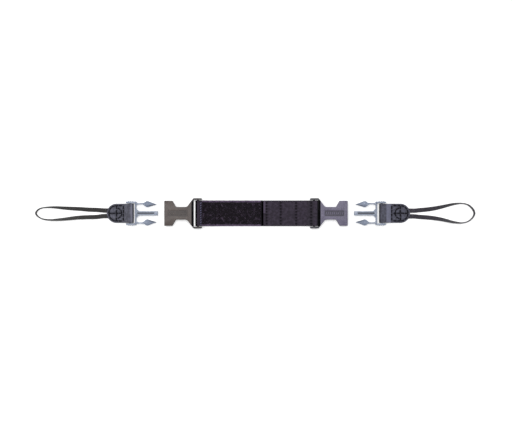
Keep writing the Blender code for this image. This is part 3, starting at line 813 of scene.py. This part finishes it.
def stitch_mesh(ends, radius, arch):
    """One stitch between two ends: an arched, tapering yarn, as vertices and faces."""
    start, end = ends
    along = (end - start).normalized()
    side = along.cross(Vector((0, 0, 1))).normalized()
    up = side.cross(along)
    vertices = []
    for i in range(STITCH_RINGS):
        share = i / (STITCH_RINGS - 1)
        swell = math.sin(math.pi * share)
        centre = start.lerp(end, share) + up * (arch * swell**0.7 - radius * 0.6 * (1 - swell))
        width = radius * (0.45 + 0.55 * swell**0.5)
        for j in range(STITCH_SIDES):
            angle = 2 * math.pi * j / STITCH_SIDES
            vertices.append(centre + side * width * math.cos(angle) + up * width * 0.8 * math.sin(angle))
    return vertices, tube_faces(STITCH_RINGS, STITCH_SIDES)


def make_stitches(name, pairs, radius, made_of, body, arch=0.16):
    """Many stitches as one piece. Each pair is the two ends of a stitch, in metres."""
    vertices, faces = [], []
    for ends in pairs:
        add_shape(vertices, faces, stitch_mesh(ends, mm(radius), mm(arch)))
    return add_mesh(name, vertices, faces, made_of, body)


def row_pairs(x, height_at, half, seed):
    """Stitches in a row across the strap, each a little out of line."""
    chooser = random.Random(seed)
    pairs = []
    count = int((2 * half + ROW_PITCH - ROW_STITCH) / ROW_PITCH)
    for i in range(count):
        y = (i + 0.5 - count / 2) * ROW_PITCH - ROW_STITCH / 2
        first = x + chooser.uniform(-ROW_LEAN, ROW_LEAN)
        second = x + chooser.uniform(-ROW_LEAN, ROW_LEAN)
        pairs.append((
            strap_point(first, y, height_at(first)),
            strap_point(second, y + ROW_STITCH, height_at(second)),
        ))
    return pairs


def strap_top(x):
    """Height of the strap's upper face where a tail row is sewn."""
    level = UPPER_Z + STRAP_THICK / 2 - STRAP_LIE - ROW_DEPTH
    return level + max(x - LEVEL_X, 0) * 0.5


for number, x in enumerate(TAIL_ROWS_X, 1):
    pairs = row_pairs(x, strap_top, STRAP_WIDTH / 2 - 1.0, 10 + number)
    row = make_stitches(f"tail_stitches_{number}", pairs, 0.5, BLACK_THREAD, "strap")
    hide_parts(f"tail_stitch_row_{number}")


# The pile tape: a woven ground with bare selvedges, and a bed of fibres between them

PILE_GROUND_THICK = 0.7
PILE_BED_TOP = 1.55
PILE_ROW_DEPTH = 0.62
EDGE_X = -LEVEL_X


def pile_bottom_z(x):
    """Height of the tape's underside, which lies over the strap's folded end and then on the strap."""
    flat = GROUND_Z + 2 * STRAP_THICK + GAP + 0.15
    ground = GROUND_Z + STRAP_THICK + 0.1
    if x < EDGE_X + 0.4:
        return flat + (EDGE_X + 0.4 - x) * 0.58
    if x < HIDDEN_END_X + 0.4:
        return flat
    share = min((x - HIDDEN_END_X - 0.4) / 2.8, 1.0)
    return flat + (ground - flat) * (3 * share**2 - 2 * share**3)


def pile_dip(x):
    """How deep the rows of stitches press the pile at a place along it."""
    return sum(sewn_dip(x - row, PILE_ROW_DEPTH, 1.25) for row in PILE_ROWS_X)


def pile_sheet(name, low, high_at, half, x_range, step, made_of, side_pull=0.0):
    """A closed slab over the tape's underside, with its top at high_at(x, y) above it."""
    start, end = x_range
    x_count = int((end - start) / step)
    y_count = int(2 * half / step)
    vertices, places, faces = [], [], []
    for layer in (1, 0):
        for i in range(x_count + 1):
            x = start + (end - start) * i / x_count
            for j in range(y_count + 1):
                y = -half + 2 * half * j / y_count
                height = high_at(x, y) if layer else low
                edge = side_pull * roughly(x, y, 9.0, 2.2)
                nudge = edge if j in (0, y_count) else 0.0
                vertices.append(strap_point(x, y + nudge, pile_bottom_z(x) + height))
                places.append((mm(x), mm(y), mm(height)))
    row, sheet = y_count + 1, (x_count + 1) * (y_count + 1)
    for i in range(x_count):
        for j in range(y_count):
            a = i * row + j
            faces.append((a, a + row, a + row + 1, a + 1))
            faces.append((sheet + a + 1, sheet + a + row + 1, sheet + a + row, sheet + a))
    rim = [i * row for i in range(x_count + 1)]
    rim += [x_count * row + j for j in range(1, row)]
    rim += [i * row + y_count for i in range(x_count - 1, -1, -1)]
    rim += list(range(y_count - 1, 0, -1))
    for a, b in zip(rim, rim[1:] + rim[:1]):
        faces.append((a, sheet + a, sheet + b, b))
    obj = add_mesh(name, vertices, faces, made_of, "strap")
    store(obj, "cloth_place", places)
    # Painted shadow on the pile ground's last stretch before the pile's end.
    store(obj, "cloth_state", [(0, 1 if place[0] > mm(PILE_END_X - 1.2) else 0, 0) for place in places])
    obj.data.set_sharp_from_angle(angle=math.radians(50))
    return obj


def ground_height(x, y):
    return PILE_GROUND_THICK - 0.4 * pile_dip(x) / PILE_ROW_DEPTH + 0.03 * roughly(x, y, 5.0, 1.0)


def bed_height(x, y):
    """The lumpy surface of the pile, falling off at its sides and along the rows."""
    half = STRAP_WIDTH / 2 - SELVEDGE
    ragged = half - 0.25 - 0.35 * roughly(x, math.copysign(1, y), 7.0, 1.6)
    shoulder = max(min((ragged - abs(y)) / 0.7, 1.0), 0.0)
    tufts = 0.2 * roughly(x, y, 1.0, 0.9) + 0.18 * roughly(x, y, 2.0, 2.6)
    height = PILE_BED_TOP + tufts - pile_dip(x)
    return max(height * shoulder + 0.3 * (1 - shoulder), 0.3)


ground_range = (PILE_START_X, PILE_END_X)
bed_range = (PILE_START_X + 0.2, PILE_END_X - 0.9)
pile_ground = pile_sheet(
    "pile_ground", 0.0, ground_height, STRAP_WIDTH / 2 - 0.05, ground_range, 0.5, PILE_GROUND, 0.12
)
pile_bed = pile_sheet("pile_bed", 0.1, bed_height, STRAP_WIDTH / 2 - 0.6, bed_range, 0.3, PILE_BED)
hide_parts("pile_tape")


FIBRE_RINGS = 7
FIBRE_SIDES = 3
FIBRE_LENGTHS = (0.6, 1.5)
FIBRE_HEIGHTS = (0.2, 0.5)


def fibre_loop(centre, heading, length, height, radius):
    """One hooped fibre standing on the bed."""
    vertices = []
    across = Vector((-heading.y, heading.x, 0))
    lean = across * length * 0.35
    for i in range(FIBRE_RINGS):
        share = i / (FIBRE_RINGS - 1)
        rise = math.sin(math.pi * share)
        middle = centre + heading * length * (share - 0.5) + Vector((0, 0, height * rise)) + lean * rise
        for j in range(FIBRE_SIDES):
            angle = 2 * math.pi * j / FIBRE_SIDES
            upwards = Vector((0, 0, radius * math.sin(angle)))
            vertices.append(middle + across * radius * math.cos(angle) + upwards)
    return vertices, tube_faces(FIBRE_RINGS, FIBRE_SIDES, capped=False)


def make_fibres(name, count, seed, made_of, radius, patchy):
    """A field of fibre loops. Patchy fibres gather where the pile is rubbed up."""
    chooser = random.Random(seed)
    half = STRAP_WIDTH / 2 - SELVEDGE + 0.15
    vertices, faces = [], []
    made = 0
    while made < count:
        x = chooser.uniform(PILE_START_X + 0.4, PILE_END_X - 1.2)
        y = chooser.uniform(-half, half)
        wanted = 0.45 + 0.6 * roughly(x, y, 21.0, 3.4) + 0.5 * roughly(x, y, 23.0, 1.3)
        near_row = min(abs(x - row) for row in PILE_ROWS_X)
        if chooser.random() > (max(wanted, 0.0) ** 4 if patchy else 1.0) or near_row < 0.45:
            continue
        base = pile_bottom_z(x) + bed_height(x, y) - 0.08
        heading = Vector((math.cos(chooser.uniform(0, math.tau)), math.sin(chooser.uniform(0, math.tau)), 0))
        if heading.length < 0.2:
            continue
        length = mm(chooser.uniform(*FIBRE_LENGTHS))
        height = mm(chooser.uniform(*FIBRE_HEIGHTS))
        fibre = fibre_loop(strap_point(x, y, base), heading.normalized(), length, height, mm(radius))
        add_shape(vertices, faces, fibre)
        made += 1
    piece = add_mesh(name, vertices, faces, made_of, "strap")


make_fibres("pile_fibres", 8000, 31, PILE_FIBRE, 0.055, False)
make_fibres("pile_pale_fibres", 2300, 32, PILE_LIGHT_FIBRE, 0.06, True)


def pile_row_height(x):
    """Height at which a row's stitches end, a little above the bottom of their dip in the pile."""
    return pile_bottom_z(x) + PILE_BED_TOP - PILE_ROW_DEPTH + 0.12


for number, x in enumerate(PILE_ROWS_X, 1):
    pairs = row_pairs(x, pile_row_height, STRAP_WIDTH / 2 - SELVEDGE - 0.8, number)
    row = make_stitches(f"pile_stitches_{number}", pairs, 0.24, BLACK_THREAD, "strap")
    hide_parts(f"pile_stitch_row_{number}")


# Zigzag stitches that close the pile tape's left end on the strap

ZIGZAG_LEGS = 20
ZIGZAG_NEAR_X = PILE_START_X - 0.3
ZIGZAG_FAR_X = PILE_START_X - 1.9


def zigzag_pairs(parity):
    """Every second leg of the zigzag, so that the two legs can differ in colour."""
    half = STRAP_WIDTH / 2 - 1.0
    corners = []
    for i in range(ZIGZAG_LEGS + 1):
        x = ZIGZAG_NEAR_X if i % 2 else ZIGZAG_FAR_X
        corners.append(strap_point(x, -half + 2 * half * i / ZIGZAG_LEGS, zigzag_height(x)))
    return [pair for i, pair in enumerate(zip(corners, corners[1:])) if i % 2 == parity]


def zigzag_height(x):
    """The strap's upper face on its slope up to the left bar, less how far it lies in."""
    return UPPER_Z + STRAP_THICK / 2 + (EDGE_X - x) * 0.56 - 0.05


pale_legs = make_stitches("zigzag_pale_legs", zigzag_pairs(0), 0.26, PALE_THREAD, "strap", 0.12)
dark_legs = make_stitches("zigzag_dark_legs", zigzag_pairs(1), 0.26, DARK_ZIGZAG, "strap", 0.12)
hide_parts("edge_zigzag_stitches")


# Webbing tabs, about their bars: a folded band with a half-round end, and its stitching

TAB_HALF = TAB_WIDTH / 2
TAB_UPPER_Z = GROUND_Z + TAB_THICK * 1.5 + GAP - MID_Z
STITCH_LINE_R = TAB_HALF - 2.0
INNER_ARC_R = 5.2
SEAM_DEPTH = 0.24
SEAM_STITCH = 1.7
SEAM_GAP = 1.9
# Each side: how far the tab reaches from its bar, where its upper layer levels out, how slack it hangs on the
# bar, its stretch paled by a painted highlight and some wear, and how pale that is.
TABS = {"left": (23.15, 6.05, 0.9, (-2.2, -0.6), 0.8), "right": (27.85, 9.05, 0.0, (4.4, 9.1), 0.9)}


def tab_path(length, run, slack):
    """part.py's fold, from the upper end, over the bar, to the lower end."""
    lower = GROUND_Z + TAB_THICK / 2 - MID_Z
    radius = 1.1 + GAP + TAB_THICK / 2
    wrap = arc((0, 0), radius, 60, 90, 3)[:-1] + arc((-slack, 0), radius, 90, 270, 14)
    return [(length, TAB_UPPER_Z), (run, TAB_UPPER_Z)] + wrap + [(run, lower), (length, lower)]


def tab_half_width(length):
    """The tab's half width at a place along it, round at its far end."""
    centre = length - TAB_HALF

    def at(x):
        if x <= centre:
            return TAB_HALF
        return max(math.sqrt(max(TAB_HALF**2 - (x - centre) ** 2, 0.0)), 0.6)

    return at


def tab_lines(length, run):
    """The tab's stitch lines, each a list of (x, y) points in the order sewn."""
    centre, start = length - TAB_HALF, run + 0.75
    reach = STITCH_LINE_R
    outline = [(start + 1.5, -reach), (centre, -reach)]
    outline += arc((centre, 0), reach, -90, 90, 24)[1:] + [(start + 1.5, reach)]
    return [
        outline,
        [(start, -reach), (start, reach)],
        [(start + 1.6, 0), (centre + reach, 0)],
        [(centre, -reach), (centre, reach)],
        arc((centre, 0), INNER_ARC_R, 100, 260, 12),
    ]


def stitches_on(line):
    """Ends of the stitches along one line."""
    places = [Vector(place) for place in line]
    total = sum((b - a).length for a, b in zip(places, places[1:]))
    count = max(round(total / (SEAM_STITCH + SEAM_GAP)), 1)
    pitch = total / count
    margin = (pitch - SEAM_STITCH) / 2
    spots = resample(line, total / (count * 24))
    found = []
    for i in range(count):
        first = nearest_spot(spots, i * pitch + margin)
        second = nearest_spot(spots, (i + 1) * pitch - margin)
        found.append((first, second))
    return found


def nearest_spot(spots, distance):
    return min(spots, key=lambda spot: abs(spot[1] - distance))[0]


def make_tab(side, sign):
    length, run, slack, highlight_and_wear_range, wear_and_highlight_share = TABS[side]
    lines = tab_lines(length, run)
    dense = [[spot for spot, _ in resample(line, 0.5)] for line in lines]
    stitched = [pair for line in lines for pair in stitches_on(line)]
    holes = [place for pair in stitched for place in pair]

    def level_top(centre, facing):
        return facing > 0.9 and centre.y > TAB_UPPER_Z - 0.1 and centre.x > run - 0.5

    def dip(centre, across, facing):
        sunk = 0.05 + 0.04 * roughly(centre.x, across, 4.0, 4.0)
        if level_top(centre, facing):
            away = min((spot - Vector((centre.x, across))).length for line in dense for spot in line)
            sunk += sewn_dip(away, SEAM_DEPTH, 1.0)
        return sunk

    def state(centre, across, facing):
        wear_and_light, shaded = 0.0, 0.0
        if centre.x < -slack - 1.2:
            # The fold lies in the shade of its bar.
            return 0.0, 0.75
        # A painted highlight on the fold's crest, with some wear.
        if facing > 0.1 and centre.y > TAB_UPPER_Z - 0.1 and highlight_and_wear_range[0] < centre.x < highlight_and_wear_range[1]:
            wear_and_light = wear_and_highlight_share * (0.8 + 0.2 * roughly(centre.x, across, 8.0, 1.5))
        # Painted shade at the stitch holes.
        if level_top(centre, facing):
            away = min((spot - Vector((centre.x, across))).length for spot in holes)
            shaded = min(sewn_dip(away, 1.15, 0.85), 1.0)
        return wear_and_light, shaded

    def place(x, y, z):
        return side_point(sign, x + PLUG_FACE_X + TAB_BAR_X, y, z + MID_Z)

    band = make_band(
        f"{side}_tab_band", band_frames(tab_path(length, run, slack), 0.33, 3), TAB_WIDTH, TAB_THICK,
        TAB_WEAVES[side], f"{side}_tab", place, dip, state, 64, tab_half_width(length),
    )
    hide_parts(f"{side}_tab_webbing")
    top = TAB_UPPER_Z + TAB_THICK / 2 - SEAM_DEPTH
    pairs = [tuple(place(spot.x, spot.y, top) for spot in pair) for pair in stitched]
    threads = make_stitches(f"{side}_tab_stitches", pairs, 0.48, BLACK_THREAD, f"{side}_tab")
    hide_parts(f"{side}_tab_stitching")


for side, sign in SIDES:
    make_tab(side, sign)


# Plug arms: a springy stem that runs out of the crossbar into a faceted barb

ARM_ROOT_X = -0.95
ARM_ROOT_Y = 9.5
ARM_HALF_HEIGHT = 2.3
ARM_CORNERS = 6
# Along the arm from its root: how far its outer and inner edges stand from its middle line, where the ridge
# runs between them, and how thick the edges are.
ARM_STATIONS = [
    (-1.9, 1.35, -1.9, 0.5, 1.0), (-1.2, 1.2, -1.7, 0.5, 1.0), (-0.5, 0.78, -1.25, 0.5, 1.0),
    (1.2, 0.65, -0.68, 0.5, 1.0), (3.4, 0.62, -0.62, 0.5, 1.0), (5.6, 0.66, -0.8, 0.5, 1.0),
    (6.8, 0.75, -1.7, 0.5, 0.92), (7.95, 1.75, -2.75, 0.5, 0.62), (9.0, 2.35, -3.35, 0.5, 0.5),
    (9.9, 2.5, -3.6, 0.48, 0.36), (11.2, 2.2, -3.25, 0.46, 0.36), (13.6, 1.15, -2.4, 0.44, 0.42),
    (16.5, 0.1, -1.6, 0.42, 0.6), (18.3, -0.5, -1.1, 0.4, 0.8), (18.8, -0.65, -0.95, 0.4, 0.8),
]


def arm_ring(outer, inner, ridge, edge):
    """The section at one station as (y, z): a ridge above and below, and upright edges."""
    middle = inner + (outer - inner) * ridge
    tall = ARM_HALF_HEIGHT * min(1.0, 0.6 + (outer - inner) / 6)
    low = tall * edge
    return [(outer, -low), (outer, low), (middle, tall), (inner, low), (inner, -low), (middle, -tall)]


def make_arm(side, sign, place, y_sign):
    vertices = []
    for forward, outer, inner, ridge, edge in ARM_STATIONS:
        for y, z in arm_ring(outer, inner, ridge, edge):
            along = PLUG_FACE_X + ARM_ROOT_X - forward
            vertices.append(side_point(sign, along, sign * y_sign * (ARM_ROOT_Y + y), MID_Z + z))
    faces = tube_faces(len(ARM_STATIONS), ARM_CORNERS)
    arm = add_mesh(f"{side}_{place}_spring_arm", vertices, faces, PLUG_PLASTIC, None, smooth=False)
    shape = bmesh.new()
    shape.from_mesh(arm.data)
    bmesh.ops.recalc_face_normals(shape, faces=shape.faces)
    shape.to_mesh(arm.data)
    shape.free()
    round_edges(arm, 0.22, 14)
    arm.data.shade_smooth()
    arm.data.set_sharp_from_angle(angle=math.radians(30))
    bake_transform(arm)
    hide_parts(f"{side}_{place}_arm")


for side, sign in SIDES:
    for place, y_sign in (("front", -1), ("back", 1)):
        make_arm(side, sign, place, y_sign)


# Sunk panels on the sockets: a plain raised hatching where a name would be

PANEL_START = MOUTH_X - 22.5
PANEL_LENGTH = 19.0
PANEL_HALF = 2.8
PANEL_FLOOR_Z = 7.7
HATCH_COUNT = 9
HATCH_LEAN = 0.5
HATCH_HALF = 1.55
HATCH_WIDTH = 0.95
HATCH_HEIGHT = 0.24
HATCH_MARGIN = 1.6
PANEL_INSET = 0.03
PANEL_CORNER = 0.5


def hatch_bar(sign, x):
    """One slanted raised bar with drafted sides, as vertices and faces."""
    vertices = []
    for inset, height in ((0.0, 0.0), (0.09, HATCH_HEIGHT)):
        for along, across in ((-1, -1), (1, -1), (1, 1), (-1, 1)):
            bar_x = x + along * (HATCH_WIDTH / 2 - inset) + across * HATCH_LEAN
            y = across * (HATCH_HALF - inset)
            vertices.append(side_point(sign, bar_x, y, PANEL_FLOOR_Z + height))
    faces = [(3, 2, 1, 0), (4, 5, 6, 7), (0, 1, 5, 4), (1, 2, 6, 5), (2, 3, 7, 6), (3, 0, 4, 7)]
    return vertices, faces


def panel_floor(side, sign):
    """A dull, slightly dished lining on the sunk panel's floor, its corners cut as the panel's are."""
    start = BAR_X + PANEL_START + PANEL_INSET
    end = BAR_X + PANEL_START + PANEL_LENGTH - PANEL_INSET
    half = PANEL_HALF - PANEL_INSET
    cut = PANEL_CORNER
    corners = [(start, cut - half), (start + cut, -half), (end - cut, -half), (end, cut - half)]
    corners += [(x, -y) for x, y in reversed(corners)]
    vertices = []
    for shrink, height in ((0.0, 0.09), (0.22, 0.03)):
        middle = (start + end) / 2
        share_x = 1 - shrink / ((end - start) / 2)
        share_y = 1 - shrink / half
        for x, y in corners:
            along = middle + (x - middle) * share_x
            vertices.append(side_point(sign, along, y * share_y, PANEL_FLOOR_Z + height))
    count = len(corners)
    faces = [(i, (i + 1) % count, count + (i + 1) % count, count + i) for i in range(count)]
    faces.append(tuple(range(count, 2 * count)))
    name = f"{side}_panel_floor"
    floor = add_mesh(name, vertices, faces, PANEL_PLASTICS[side], f"{side}_socket", smooth=False)


for side, sign in SIDES:
    panel_floor(side, sign)
    vertices, faces = [], []
    for i in range(HATCH_COUNT):
        share = i / (HATCH_COUNT - 1)
        x = BAR_X + PANEL_START + HATCH_MARGIN + (PANEL_LENGTH - 2 * HATCH_MARGIN) * share
        add_shape(vertices, faces, hatch_bar(sign, x))
    name = f"{side}_panel_hatching"
    hatching = add_mesh(name, vertices, faces, SOCKET_PLASTICS[side], f"{side}_socket", smooth=False)
    round_edges(hatching, 0.06, 30, 2)


# The lining of the grooves along the tongues, darker for the painted shade in them

GROOVE_START = 1.25
GROOVE_END = 17.65
GROOVE_HALF = 0.93
GROOVE_FLOOR = 1.2
GROOVE_RIM = 1.86


def groove_shade_lining(name, side, sign, z_sign):
    """The groove's floor and walls, a darker sheet that paints the shade in the groove."""
    vertices, faces = [], []
    stations = ((GROOVE_START, 1), (GROOVE_START + 0.02, 0), (GROOVE_END - 0.02, 0), (GROOVE_END, 1))
    for forward, share in stations:
        low = GROOVE_FLOOR + 0.03 + (GROOVE_RIM - GROOVE_FLOOR) * share
        inner = GROOVE_HALF - 0.04
        for y, z in ((-GROOVE_HALF, GROOVE_RIM), (-inner, low), (inner, low), (GROOVE_HALF, GROOVE_RIM)):
            vertices.append(side_point(sign, PLUG_FACE_X - forward, y, MID_Z + z_sign * z))
    for i in range(len(stations) - 1):
        for j in range(3):
            a, b = 4 * i + j, 4 * i + 4 + j
            faces.append((a, a + 1, b + 1, b))
    lining = add_mesh(name, vertices, faces, GROOVE_SHADE_PLASTIC, f"{side}_plug", smooth=False)


for side, sign in SIDES:
    for level, z_sign in (("upper", 1), ("lower", -1)):
        groove_shade_lining(f"{side}_{level}_groove_shade_lining", side, sign, z_sign)
